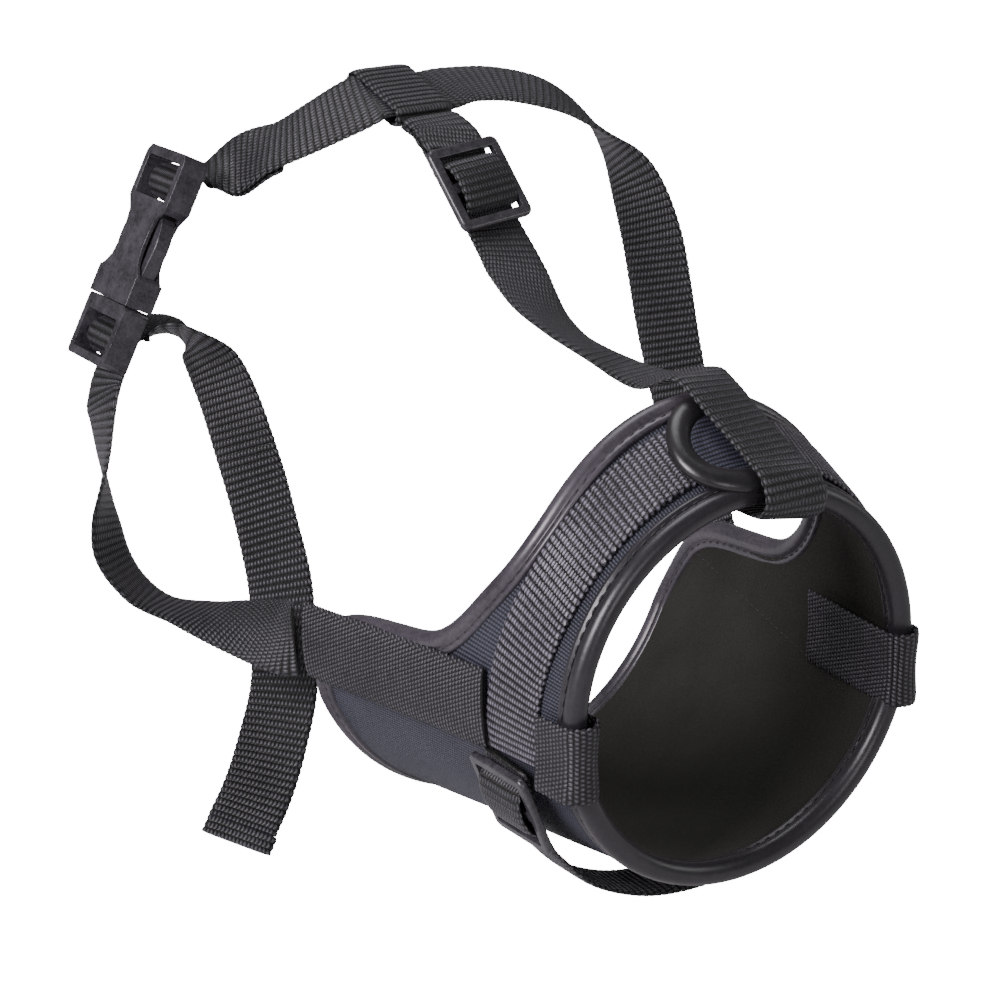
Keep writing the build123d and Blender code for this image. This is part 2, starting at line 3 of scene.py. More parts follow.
import bpy
import numpy as np
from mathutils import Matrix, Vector


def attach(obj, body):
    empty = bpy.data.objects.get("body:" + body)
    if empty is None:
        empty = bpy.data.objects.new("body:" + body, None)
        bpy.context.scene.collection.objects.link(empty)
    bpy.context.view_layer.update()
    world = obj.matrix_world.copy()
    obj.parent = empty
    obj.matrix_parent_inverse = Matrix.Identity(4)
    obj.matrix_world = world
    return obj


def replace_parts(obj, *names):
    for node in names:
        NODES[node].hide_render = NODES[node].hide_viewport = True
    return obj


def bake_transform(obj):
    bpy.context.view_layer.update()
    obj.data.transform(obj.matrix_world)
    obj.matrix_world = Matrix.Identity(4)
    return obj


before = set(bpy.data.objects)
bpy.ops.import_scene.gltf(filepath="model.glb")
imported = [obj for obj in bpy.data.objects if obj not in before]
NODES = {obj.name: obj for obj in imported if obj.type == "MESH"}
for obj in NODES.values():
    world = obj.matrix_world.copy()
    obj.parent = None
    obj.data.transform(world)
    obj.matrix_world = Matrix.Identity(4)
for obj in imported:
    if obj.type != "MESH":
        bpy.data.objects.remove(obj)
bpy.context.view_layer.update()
MM = 0.001

# ------------------------------------------------------------------ sizes, mm
WEB_W, WEB_T = 20.0, 1.5
STRAP_RIB, BAND_RIB, WING_RIB = 2.1, 2.0, 1.3
PER_STATION = 14          # rows worked out between two strap stations
WORLD_LIGHT, CAMERA_WHITE = 0.17, 17.0
RIM_HALF_W, RIM_TOP, RIM_BOTTOM = 55.5, 53.0, 54.0
SPREAD_W, SPREAD_TOP, SPREAD_BOTTOM = 0.09, 0.62, 0.12
BACK_EDGE = 111.0
EDGE = [(29.5, 92), (29.5, 70), (29.5, 52), (30.6, 43), (33.6, 34.5), (39, 26), (45.5, 17.5), (52.5, 11.5),
        (60, 8.4), (72, 6.6), (84, 4.9), (93, 2.2), (99.5, -2.2), (104, -8), (107.5, -15), (110, -22), (111,
         -27)]


def unit(v):
    v = np.asarray(v, float)
    return v / np.linalg.norm(v)


class Axes:
    """Local axes: origin, x across, z outward."""

    def __init__(self, origin, x, z):
        self.o = np.array(origin, float)
        self.z = unit(z)
        self.x = unit(np.array(x, float) - self.z * np.dot(x, self.z))
        self.y = np.cross(self.z, self.x)

    def at(self, x, y, z):
        return tuple(self.o + self.x * x + self.y * y + self.z * z)


BUCKLE = Axes((-72, 196, 67), (-0.108, -0.992, 0.068), (-0.878, 0.127, 0.463))
KEEPER_ACROSS, KEEPER_ALONG = (0.07, -0.935, -0.36), (0.995, 0.09, -0.04)
KEEPER = Axes((0.6, 160.3, 124.3), KEEPER_ACROSS, KEEPER_ALONG)
GLIDE_DIR = (0.98, 0.2, 0.007)
GLIDE_TOP = Axes((1.59, 122.03, 106.51), GLIDE_DIR, (0.155, -0.781, 0.61))
GLIDE_CHIN = Axes((-55.35, 26, -28.35), (0, 1, 0), (-0.924, 0, -0.381))
on_buckle, WIDTH_DIR = BUCKLE.at, tuple(BUCKLE.x)

CHEEK = [((-68.6, 109.2, -8.4), (0, 0.1, -1)), ((-68.8, 116, -9.6), (-0.4, -0.1, -0.9)),
         ((-68, 131, -12.5), (-0.7, -0.3, -0.6)), ((-69.5, 146, -14.5), (-0.9, -0.3, -0.3)),
         ((-73, 158, -15.5), (-0.9, -0.4, 0)), ((-79, 168, -14.5), (-0.9, -0.5, 0.2)),
         ((-84, 174, -9), (-0.9, -0.5, 0.3)), ((-87, 179, -1), (-0.85, -0.5, 0.3)),
         ((-87, 182, 8), (-0.75, -0.6, 0.3)), ((-85.5, 184.5, 17), (-0.55, -0.8, 0.3)),
         ((-84, 187, 26), (-0.3, -0.95, 0.25)), ((-82, 190.5, 37), (-0.1, -1, 0.2)),
         (on_buckle(1.2, -24.5, -5.1), WIDTH_DIR), (on_buckle(0.2, -19, -5), WIDTH_DIR),
         (on_buckle(0, -14.4, -4.95), WIDTH_DIR)]
NECK = [(on_buckle(0, 40.6, -5.1), WIDTH_DIR), (on_buckle(0.6, 43.2, -8.9), WIDTH_DIR),
        ((-37, 189.5, 103.5), (-0.14, -0.86, -0.42)),
        ((-31, 178.8, 109.7), (-0.25, -0.92, -0.25)), ((-22.5, 168.6, 117), (-0.15, -0.92, -0.35)),
        ((-11.3, 159.2, 124.8), KEEPER_ACROSS), ((-5.4, 159.76, 124.54), KEEPER_ACROSS),
        ((6.6, 160.84, 124.06), KEEPER_ACROSS), ((12.5, 161.4, 123.8), KEEPER_ACROSS),
        ((22.5, 162.6, 124.2), (-0.1, -0.93, -0.3)), ((36, 159.8, 123), (-0.3, -0.9, -0.3)),
        ((48.5, 153.4, 119.2), (-0.35, -0.85, -0.25)), ((57.5, 148.2, 112.4), (-0.35, -0.9, -0.1)),
        ((63.5, 144.2, 104.6), (-0.15, -0.95, 0.1)), ((67.5, 138, 94), (0.2, -0.9, 0.3)),
        ((70, 133, 80), (0.4, -0.85, 0.3)), ((70.5, 128.5, 64), (0.45, -0.85, 0.25)),
        ((70.2, 123, 47), (0.4, -0.85, 0.3)), ((70.2, 117, 31), (0.3, -0.85, 0.35)),
        ((70.4, 110.5, 16), (0.12, -0.8, 0.55)), ((70.1, 104.5, 5), (0.05, -0.75, 0.65)),
        ((69.6, 98.5, -5), (0, -0.7, 0.7))]
FOREHEAD = [((9.5, 13, 44.4), (1, 0, -0.2)), ((9.5, 5, 44.2), (1, 0, -0.2)),
            ((9.5, -3, 45.2), (1, 0, -0.18)), ((9.6, -6.2, 50.2), (1, 0, -0.15)),
            ((9.6, -3.4, 55.8), (1, 0, -0.16)), ((9.4, 3, 59), (1, 0.05, -0.18)),
            ((8.6, 10, 63.3), (1, 0.1, -0.18)), ((7.4, 17, 67.7), (1, 0.15, -0.16)),
            ((6.6, 24, 72.1), (1, 0.2, -0.12)), ((6.2, 30.5, 74.2), (1, 0.25, -0.1)),
            ((6, 38, 72), (0.95, 0.3, -0.05)), ((5.4, 46.5, 69), (0.95, 0.35, -0.05)),
            ((3, 56, 69.8), (0.85, 0.45, -0.1)), ((-1, 65, 73), (0.85, 0.45, -0.2)),
            ((-3.5, 74.8, 76), (0.9, 0.4, -0.25)), ((-3.6, 86.3, 79.6), (0.95, 0.3, -0.2)),
            ((-1, 97.5, 83.8), (0.97, 0.22, -0.1)), ((1.8, 107.5, 88.2), (0.98, 0.2, -0.02)),
            ((2.6, 116.5, 95), GLIDE_DIR), ((1.2, 124, 105), GLIDE_DIR),
            ((0.1, 130.4, 113.5), GLIDE_DIR), ((0.8, 134.6, 116.2), (0.98, 0.16, -0.02)),
            ((2.2, 140.1, 118.3), (0.99, 0.1, -0.04)), ((1.6, 146.4, 120.5), KEEPER_ALONG)]
TAIL = [(on_buckle(0, -8.2, -5.2), WIDTH_DIR), (on_buckle(0.4, -6, -7.5), WIDTH_DIR),
        (on_buckle(2.6, -2.8, -12.4), (-0.5, -0.85, -0.1)),
        ((-58, 183, 57), (-0.1, -0.9, 0.35)), ((-52.5, 179, 50), (0.35, -0.85, 0.4)),
        ((-49, 174, 37), (0.5, -0.8, 0.4)), ((-47.2, 167, 19.5), (0.55, -0.75, 0.35)),
        ((-47.2, 159, 4.5), (0.55, -0.75, 0.35)), ((-48, 151.5, -10), (0.6, -0.75, 0.25)),
        ((-50.5, 145.5, -24), (0.6, -0.8, 0.15)), ((-55, 139.5, -38), (0.65, -0.75, 0)),
        ((-64, 132, -50.5), (0.7, -0.7, -0.1)), ((-73, 125.5, -60), (0.7, -0.65, -0.15)),
        ((-80, 121.1, -65.8), (0.7, -0.65, -0.2))]
TAIL_END = [((-80.1, 121, -65.9), (0.7, -0.65, -0.2)), ((-84, 118.7, -69), (0.7, -0.65, -0.2))]
CHIN = [((-58.5, 24.2, -14.9), (0, 1, 0)), ((-57, 24.8, -18.5), (0, 1, 0)),
        ((-53.25, 26, -27.6), (0, 1, 0)), ((-48.7, 26.3, -38.6), (0, 1, 0)),
        ((-44, 26, -45.2), (0, 1, 0)), ((-34, 25, -54.6), (0, 1, 0)), ((-18, 24, -61.4), (0, 1, 0)),
        ((0, 24, -63.5), (0, 1, 0)), ((18, 24, -61.8), (0, 1, 0)), ((34, 24, -55), (0, 1, 0)),
        ((46, 24, -45), (0, 1, 0)), ((54, 23.5, -32), (0, 1, 0)), ((57.6, 23, -21), (0, 1, 0)),
        ((58.7, 23, -13.4), (0, 1, 0))]


# ------------------------------------------------------------------ materials
def new_material(name):
    m = bpy.data.materials.new(name)
    m.use_nodes = True
    nt = m.node_tree
    nt.nodes.clear()
    out = nt.nodes.new("ShaderNodeOutputMaterial")
    bsdf = nt.nodes.new("ShaderNodeBsdfPrincipled")
    nt.links.new(bsdf.outputs[0], out.inputs[0])
    return m, nt, bsdf


def math_node(nt, op, a, b=None, c=None, clamp=False):
    n = nt.nodes.new("ShaderNodeMath")
    n.operation = op
    n.use_clamp = clamp
    for i, v in enumerate((a, b, c)):
        if v is None:
            continue
        if isinstance(v, (int, float)):
            n.inputs[i].default_value = v
        else:
            nt.links.new(v, n.inputs[i])
    return n.outputs[0]


def noise(nt, vector, scale, detail=3.0, rough=0.55):
    n = nt.nodes.new("ShaderNodeTexNoise")
    n.inputs["Scale"].default_value = scale
    n.inputs["Detail"].default_value = detail
    n.inputs["Roughness"].default_value = rough
    nt.links.new(vector, n.inputs["Vector"])
    return n.outputs["Fac"]


def ramp(nt, fac, stops):
    n = nt.nodes.new("ShaderNodeValToRGB")
    els = n.color_ramp.elements
    while len(els) < len(stops):
        els.new(0.5)
    for e, (p, c) in zip(els, stops):
        e.position = p
        e.color = (*c, 1)
    nt.links.new(fac, n.inputs[0])
    return n.outputs[0]


def bump(nt, bsdf, height, distance, strength=1.0):
    n = nt.nodes.new("ShaderNodeBump")
    n.inputs["Strength"].default_value = strength
    n.inputs["Distance"].default_value = distance
    nt.links.new(height, n.inputs["Height"])
    nt.links.new(n.outputs[0], bsdf.inputs["Normal"])


def lay_coords(nt):
    """u, v in mm on the cloth, from the piece's own lay attribute, and the object position."""
    a = nt.nodes.new("ShaderNodeAttribute")
    a.attribute_name = "lay"
    s = nt.nodes.new("ShaderNodeSeparateXYZ")
    nt.links.new(a.outputs["Vector"], s.inputs[0])
    g = nt.nodes.new("ShaderNodeTexCoord")
    return s.outputs[0], s.outputs[1], g.outputs["Object"]


def beads(nt, u, v, pu, pv, sharp=0.8):
    """Woven beads: rows of pitch pv, beads of pitch pu, every second row shifted."""
    row = math_node(nt, "FLOOR", math_node(nt, "DIVIDE", v, pv))
    shift = math_node(nt, "MULTIPLY", row, 0.5)
    across = math_node(nt, "ADD", math_node(nt, "DIVIDE", u, pu), shift)
    su = math_node(nt, "ABSOLUTE", math_node(nt, "SINE", math_node(nt, "MULTIPLY", across, math.pi)))
    sv = math_node(nt, "ABSOLUTE", math_node(nt, "SINE", math_node(nt, "MULTIPLY", v, math.pi / pv)))
    return math_node(nt, "POWER", sv, sharp), su


def webbing_material(name, pitch, bead, low, high, bead_share=0.45, depth=0.35, rough=0.45,
                     sheen=0.05):
    m, nt, bsdf = new_material(name)
    u, v, obj = lay_coords(nt)
    rib, bd = beads(nt, u, v, bead, pitch)
    cross = math_node(nt, "ADD", 1 - bead_share, math_node(nt, "MULTIPLY", bd, bead_share))
    h = math_node(nt, "MULTIPLY", rib, cross)
    fuzz = noise(nt, obj, 900.0, 2.0)
    worn = noise(nt, obj, 45.0, 4.0)
    h2 = math_node(nt, "ADD", h, math_node(nt, "MULTIPLY", math_node(nt, "SUBTRACT", fuzz, 0.5), 0.5))
    # colour follows the bead height: the crests get the light colour as painted highlight and the gaps
    # between rows get the dark one as painted shade; the worn noise adds random wear tone
    tone = math_node(nt, "ADD", h2, math_node(nt, "MULTIPLY", math_node(nt, "SUBTRACT", worn, 0.5), 0.5))
    mid = tuple(a * 0.72 + b * 0.28 for a, b in zip(low, high))
    nt.links.new(ramp(nt, tone, [(0.3, low), (0.68, mid), (1.0, high)]), bsdf.inputs["Base Color"])
    bsdf.inputs["Roughness"].default_value = rough
    bsdf.inputs["Specular IOR Level"].default_value = 0.35
    bsdf.inputs["Sheen Weight"].default_value = sheen
    bsdf.inputs["Sheen Roughness"].default_value = 0.4
    bsdf.inputs["Sheen Tint"].default_value = (0.82, 0.78, 0.9, 1)
    bump(nt, bsdf, h2, depth * MM, 1.0)
    return m


def fabric_material(name, pu, pv, low, high, depth=0.15, rough=0.6, sheen=0.3, tint=(0.8, 0.82, 1.0)):
    m, nt, bsdf = new_material(name)
    u, v, obj = lay_coords(nt)
    rib, bd = beads(nt, u, v, pu, pv, 1.0)
    h = math_node(nt, "MULTIPLY", rib, math_node(nt, "ADD", 0.5, math_node(nt, "MULTIPLY", bd, 0.5)))
    fuzz = noise(nt, obj, 1200.0, 2.0)
    worn = noise(nt, obj, 30.0, 3.0)
    h2 = math_node(nt, "ADD", h, math_node(nt, "MULTIPLY", math_node(nt, "SUBTRACT", fuzz, 0.5), 0.4))
    # colour follows the weave height: the crests get the light colour as painted highlight and the hollows
    # get the dark one as painted shade; the worn noise adds random wear tone
    tone = math_node(nt, "ADD", h2, math_node(nt, "MULTIPLY", math_node(nt, "SUBTRACT", worn, 0.5), 0.6))
    nt.links.new(ramp(nt, tone, [(0.15, low), (0.95, high)]), bsdf.inputs["Base Color"])
    bsdf.inputs["Roughness"].default_value = rough
    bsdf.inputs["Specular IOR Level"].default_value = 0.3
    bsdf.inputs["Sheen Weight"].default_value = sheen
    bsdf.inputs["Sheen Roughness"].default_value = 0.45
    bsdf.inputs["Sheen Tint"].default_value = (*tint, 1)
    bump(nt, bsdf, h2, depth * MM, 0.8)
    return m


def smooth_material(name, low, high, rough, grain=700.0, depth=0.06, sheen=0.0, spec=0.5, blotch=60.0,
                    coat=0.0,
                    tint=(0.9, 0.8, 0.9)):
    m, nt, bsdf = new_material(name)
    g = nt.nodes.new("ShaderNodeTexCoord")
    obj = g.outputs["Object"]
    fine = noise(nt, obj, grain, 3.0, 0.6)
    big = noise(nt, obj, blotch, 4.0, 0.6)
    tone = math_node(nt, "ADD", math_node(nt, "MULTIPLY", fine, 0.45), math_node(nt, "MULTIPLY", big, 0.55))
    nt.links.new(ramp(nt, tone, [(0.35, low), (0.68, high)]), bsdf.inputs["Base Color"])
    r = math_node(nt, "ADD", rough - 0.08, math_node(nt, "MULTIPLY", big, 0.16))
    nt.links.new(r, bsdf.inputs["Roughness"])
    bsdf.inputs["Specular IOR Level"].default_value = spec
    bsdf.inputs["Sheen Weight"].default_value = sheen
    bsdf.inputs["Sheen Roughness"].default_value = 0.5
    bsdf.inputs["Sheen Tint"].default_value = (*tint, 1)
    bsdf.inputs["Coat Weight"].default_value = coat
    bsdf.inputs["Coat Roughness"].default_value = 0.35
    bump(nt, bsdf, fine, depth * MM, 0.9)
    return m


# the first colour of each webbing is painted shade for the gaps between rows, the second is painted highlight
# for the bead crests
MAT_STRAP = webbing_material("strap_webbing", STRAP_RIB, 1.13, (0.0025, 0.0027, 0.0022), (0.06, 0.06,
                             0.068), 0.75)
MAT_BAND = webbing_material("band_webbing", BAND_RIB, 0.9, (0.003, 0.003, 0.0035), (0.2, 0.185, 0.225), 0.5,
                            0.5, 0.3,
                            0.05)
MAT_WING = webbing_material("wing_webbing", WING_RIB, 1.2, (0.0025, 0.0025, 0.0025), (0.075, 0.07, 0.084),
                            0.8, 0.35)
# the first colour of each fabric is painted shade for the weave hollows, the second is painted highlight for
# the crests
MAT_NYLON = fabric_material("nylon", 0.95, 0.95, (0.002, 0.002, 0.003), (0.05, 0.053, 0.075), 0.3, sheen=0.04)
MAT_PATCH = fabric_material("patch_fabric", 0.9, 1.1, (0.003, 0.003, 0.005), (0.04, 0.044, 0.068), 0.3,
                            sheen=0.04)
MAT_SUEDE = smooth_material("suede", (0.011, 0.0112, 0.0095), (0.021, 0.0215, 0.0185), 0.95, 1500.0, 0.08,
                            0.12, 0.12, 40.0,
                            tint=(0.8, 0.8, 0.74))
MAT_BIND = smooth_material("binding", (0.009, 0.0085, 0.01), (0.02, 0.018, 0.022), 0.36, 900.0, 0.035, 0.06,
                           0.45, 50.0)
# the back-edge binding is a copy of the binding colour made about three times lighter: painted highlight for
# the light falling on the back edge
MAT_BINDING_LIT = smooth_material("lit_edge_binding", (0.02, 0.018, 0.023), (0.06, 0.052, 0.064), 0.34, 900.0, 0.035,
                           0.05, 0.5, 50.0)
MAT_VINYL = smooth_material("vinyl", (0.006, 0.006, 0.006), (0.014, 0.013, 0.014), 0.33, 600.0, 0.05, 0.03,
                            0.5)
MAT_PLASTIC = smooth_material("black_plastic", (0.01, 0.0095, 0.011), (0.06, 0.055, 0.066), 0.3, 1100.0,
                              0.045, 0.0,
                              0.55, 160.0)
MAT_THREAD = smooth_material("thread", (0.006, 0.006, 0.006), (0.02, 0.02, 0.022), 0.6, 900.0, 0.03)


# ------------------------------------------------------------------ mesh building
def mesh_object(name, verts, faces, lay, material, body=None):
    me = bpy.data.meshes.new(name)
    me.from_pydata((np.asarray(verts) * MM).tolist(), [], faces)
    me.polygons.foreach_set("use_smooth", [True] * len(me.polygons))
    if lay is not None:
        a = me.attributes.new("lay", "FLOAT_VECTOR", "POINT")
        a.data.foreach_set("vector", np.asarray(lay, np.float32).ravel())
    me.materials.append(material)
    me.update()
    ob = bpy.data.objects.new(name, me)
    bpy.context.scene.collection.objects.link(ob)
    if body:
        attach(ob, body)
    return ob


def ring_grid(P, lay, close_rows=False):
    """Faces of a tube whose rows are closed loops; caps at both ends unless the rows close."""
    n, m, _ = P.shape
    faces = []
    last = n if close_rows else n - 1
    for i in range(last):
        a, b = i * m, ((i + 1) % n) * m
        for j in range(m):
            k = (j + 1) % m
            faces.append((a + j, b + j, b + k, a + k))
    if not close_rows:
        faces.append(tuple(range(m)))
        faces.append(tuple(range((n - 1) * m + m - 1, (n - 1) * m - 1, -1)))
    return P.reshape(-1, 3), faces, lay.reshape(-1, 3)


def smooth(stations, per=PER_STATION, closed=False):
    rows = [list(c) + list(unit(w)) for c, w in stations]
    if closed:
        rows = [rows[-1]] + rows + [rows[0], rows[1]]
    else:
        rows = ([[2 * a - b for a, b in zip(rows[0], rows[1])]] + rows
                + [[2 * a - b for a, b in zip(rows[-1], rows[-2])]])
    out = []
    for i in range(1, len(rows) - 2):
        a, b, c, d = (np.array(rows[i + k]) for k in (-1, 0, 1, 2))
        for t in np.arange(per) / per:
            out.append(0.5 * (2 * b + (c - a) * t + (2 * a - 5 * b + 4 * c - d) * t * t
                              + (3 * b - a - 3 * c + d) * t ** 3))
    if not closed:
        out.append(np.array(rows[-2]))
    return np.array(out)


def resample(run, step, closed=False):
    if closed:
        run = np.vstack([run, run[:1]])
    s = np.concatenate([[0], np.cumsum(np.linalg.norm(np.diff(run[:, :3], axis=0), axis=1))])
    n = max(4, int(s[-1] / step))
    t = np.linspace(0, s[-1], n + (1 if not closed else 0), endpoint=not closed)
    return np.stack([np.interp(t, s, run[:, k]) for k in range(6)], 1), t


def strap_mesh(name, run, width=WEB_W, thick=WEB_T, pitch=STRAP_RIB, rib=0.2, bow=0.0, closed=False,
               step=0.26,
               material=None, body="sleeve", v0=0.0, edge=0.28):
    """Webbing along a run of (centre, width direction) rows, with its ribs and scalloped edges."""
    pts, s = resample(run, step, closed)
    C, W = pts[:, :3], pts[:, 3:]
    if closed:
        T = np.roll(C, -1, 0) - np.roll(C, 1, 0)
    else:
        T = np.gradient(C, axis=0)
    T /= np.linalg.norm(T, axis=1)[:, None]
    W = W - T * (W * T).sum(1)[:, None]
    W /= np.linalg.norm(W, axis=1)[:, None]
    N = np.cross(T, W)
    half, h = width / 2, thick / 2
    cols = 15
    xs = np.linspace(-1, 1, cols)
    wave = np.abs(np.sin(math.pi * (s + v0) / pitch)) ** 0.8
    wave2 = np.abs(np.cos(math.pi * (s + v0) / pitch)) ** 0.8
    loop_x, loop_side = [], []
    for x in xs:
        loop_x.append(x), loop_side.append(1)
    for x in xs[::-1]:
        loop_x.append(x), loop_side.append(-1)
    P = np.zeros((len(s), len(loop_x), 3))
    L = np.zeros_like(P)
    wobble = 0.12 * np.sin(s / 11.0 + 1.3) + 0.08 * np.sin(s / 4.7)
    for j, (x, side) in enumerate(zip(loop_x, loop_side)):
        fade = (1 - abs(x) ** 8)
        lift = np.where(side > 0, wave, wave2) * rib
        z = side * (h * (0.35 + 0.65 * fade) - rib * 0.6 + lift * fade)
        u = x * (half - edge * 0.5) + np.sign(x) * (edge * wave * abs(x) ** 8) + wobble * abs(x) ** 3
        z = z - bow * (x * half) ** 2
        P[:, j] = C + W * u[:, None] + N * z[:, None]
        L[:, j, 0] = x * half
        L[:, j, 1] = s + v0
    verts, faces, lay = ring_grid(P, L, closed)
    return mesh_object(name, verts, faces, lay, material or MAT_STRAP, body)


def shift_run(run, distance):
    T = np.gradient(run[:, :3], axis=0)
    lift = np.cross(T, run[:, 3:])
    lift /= np.linalg.norm(lift, axis=1)[:, None]
    out = run.copy()
    out[:, :3] += lift * distance
    return out


# ------------------------------------------------------------------ sleeve surface
def spline_points(points, per=16):
    return smooth([((y, z, 0), (1, 0, 0)) for y, z in points], per)[:, :2]


def height_top(y):
    return RIM_TOP + SPREAD_TOP * y


def height_low(y):
    return RIM_BOTTOM + SPREAD_BOTTOM * y


_edge = spline_points(EDGE)
_sine = np.where(_edge[:, 1] >= 0, _edge[:, 1] / height_top(_edge[:, 0]), _edge[:, 1] / height_low(_edge[:,
                 0]))
_order = np.argsort(_sine)


def back_y(theta):
    """Where the sleeve's back edge lies at each angle round the muzzle."""
    s = np.sin(theta)
    return np.interp(s, _sine[_order], _edge[_order, 0], left=BACK_EDGE)


def on_sleeve(theta, y, inset):
    w = RIM_HALF_W + SPREAD_W * y - inset
    h = np.where(np.sin(theta) >= 0, height_top(y), height_low(y)) - inset
    return np.stack([w * np.cos(theta), y + 0 * theta, h * np.sin(theta)], -1)


def sleeve_normal(theta, y):
    e = 1e-3
    a = on_sleeve(theta + e, y, 0.0) - on_sleeve(theta - e, y, 0.0)
    b = on_sleeve(theta, y + e, 0.0) - on_sleeve(theta, y - e, 0.0)
    n = np.cross(a, b)
    n /= np.linalg.norm(n, axis=-1, keepdims=True)
    flip = np.sign(n[..., 0] * np.cos(theta) + n[..., 2] * np.sin(theta))
    return n * flip[..., None]


def ripple(theta, y, seed, amp):
    k = np.random.default_rng(seed)
    out = 0 * theta
    for _ in range(14):
        f1, f2, p = k.integers(2, 12), k.uniform(0.03, 0.16), k.uniform(0, 6.28)
        out = out + np.sin(f1 * theta + f2 * y * k.choice([-1, 1]) + p) / 14 ** 0.5
    return amp * out


def wall_mesh(name, outer, inner, front, back, material, seed, amp, deep=0.0):
    rows, cols = 360, 90
    th = np.linspace(0, 2 * math.pi, rows, endpoint=False)
    yb = back_y(th) - back
    t = np.linspace(0, 1, cols)
    TH = np.repeat(th[:, None], cols, 1)
    Y = front + (yb[:, None] - front) * t[None]
    bulge = ripple(TH, Y, seed, amp)
    out = on_sleeve(TH, Y, outer - bulge if outer < 1 else outer)
    inn = on_sleeve(TH[:, ::-1], Y[:, ::-1], inner + (deep + ripple(TH, Y, seed + 1, amp))[:,
                    ::-1] * (outer > 1))
    P = np.concatenate([out, inn], 1)
    arc = TH * 60
    L = np.zeros_like(P)
    L[..., 0] = np.concatenate([arc, arc[:, ::-1]], 1)
    L[..., 1] = np.concatenate([Y, Y[:, ::-1]], 1)
    verts, faces, lay = ring_grid(P, L[..., [1, 0, 2]], True)
    return mesh_object(name, verts, faces, lay, material, "sleeve")


nylon = wall_mesh("sleeve_nylon", 0.25, 1.8, 1.5, 1.5, MAT_NYLON, 3, 0.22)
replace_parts(nylon, "outer_shell")
lining = wall_mesh("sleeve_lining", 2.1, 4.0, 1.5, 1.5, MAT_SUEDE, 5, 0.3, 0.1)
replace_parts(lining, "lining")

# binding profile: (distance inward from the edge, height over the middle of the wall)
BIND = ([(6.9, 2.15), (6.4, 2.62), (5.7, 2.66), (5.1, 2.32), (4.75, 2.34)]
        + [(2.75 + 2.95 * math.cos(a), 3.15 * math.sin(a)) for a in np.linspace(0.7, 2 * math.pi - 0.7, 21)]
        + [(4.75, -2.34), (5.1, -2.32), (5.7, -2.66), (6.4, -2.62), (6.9, -2.15)])


def edge_frame(theta, front):
    y = 0 * theta if front else back_y(theta)
    E = on_sleeve(theta, y, 2.0)
    N = sleeve_normal(theta, y)
    return E, N


def loop_by_length(front, step):
    th = np.linspace(-0.5 * math.pi, 1.5 * math.pi, 6001)
    E, _ = edge_frame(th, front)
    s = np.concatenate([[0], np.cumsum(np.linalg.norm(np.diff(E, axis=0), axis=1))])
    n = int(s[-1] / step)
    t = np.linspace(0, s[-1], n, endpoint=False)
    return np.interp(t, s, th), t


def edge_axes(front, step, soften):
    th, s = loop_by_length(front, step)
    E, N = edge_frame(th, front)
    T = np.roll(E, -1, 0) - np.roll(E, 1, 0)
    T /= np.linalg.norm(T, axis=1)[:, None]
    A = np.cross(T, N)
    A /= np.linalg.norm(A, axis=1)[:, None]
    if A[:, 1].mean() * (1 if front else -1) < 0:
        A = -A
    for _ in range(soften):
        for V in (A, N):
            V += np.roll(V, 1, 0) + np.roll(V, -1, 0)
            V /= np.linalg.norm(V, axis=1)[:, None]
    return E, N, A, T, s


def binding(name, front, offset, replaces, material):
    E, N, A, T, s = edge_axes(front, 0.8, 10)
    P = np.zeros((len(s), len(BIND), 3))
    L = np.zeros_like(P)
    pucker = 0.1 * np.sin(s / 13.0)
    for j, (a, n) in enumerate(BIND):
        grow = 1 + pucker / 3
        P[:, j] = E + A * (a + offset) + N * (n * grow)[:, None]
        L[:, j, 0], L[:, j, 1] = a, s
    verts, faces, lay = ring_grid(P, L, True)
    ob = mesh_object(name, verts, faces, lay, material, "sleeve")
    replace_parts(ob, *replaces)
    return ob


def stitch_run(name, points, tangents, normals, length=2.5, pitch=3.5, radius=0.3, body="sleeve", lift=0.12):
    """Dashes of sewing thread along a line."""
    s = np.concatenate([[0], np.cumsum(np.linalg.norm(np.diff(points, axis=0), axis=1))])
    verts, faces = [], []
    ring, along = 6, 5
    for c in np.arange(pitch / 2, s[-1] - pitch / 2, pitch):
        p = np.array([np.interp(c, s, points[:, k]) for k in range(3)])
        t = unit([np.interp(c, s, tangents[:, k]) for k in range(3)])
        n = unit([np.interp(c, s, normals[:, k]) for k in range(3)])
        b = np.cross(t, n)
        base = len(verts)
        for i in range(along):
            x = -1 + 2 * i / (along - 1)
            r = radius * math.sqrt(max(0.06, 1 - x * x * 0.94))
            dip = -0.22 * x * x
            for k in range(ring):
                a = 2 * math.pi * k / ring
                verts.append(p + t * (x * length / 2) + n * (lift + dip + r * math.sin(a))
                             + b * (r * math.cos(a)))
        for i in range(along - 1):
            for k in range(ring):
                q = (k + 1) % ring
                faces.append((base + i * ring + k, base + i * ring + q,
                              base + (i + 1) * ring + q, base + (i + 1) * ring + k))
        faces.append(tuple(base + k for k in range(ring))[::-1])
        faces.append(tuple(base + (along - 1) * ring + k for k in range(ring)))
    return mesh_object(name, verts, faces, None, MAT_THREAD, body)


binding("rim_binding", True, -1.5, ["rim_binding_bridge", "rim_binding_chin"], MAT_BIND)
# the back-edge binding takes the lighter, painted-highlight copy of the binding colour
binding("edge_binding", False, -0.4, ["notch_binding", "lower_edge_binding"], MAT_BINDING_LIT)
for label, front, offset in (("rim", True, -1.5), ("edge", False, -0.4)):
    E, N, A, T, s = edge_axes(front, 0.8, 6)
    for side, sign in (("outside", 1), ("inside", -1)):
        stitch_run(f"{label}_stitches_{side}", E + A * (5.1 + offset) + N * sign * 2.3, T, N * sign)

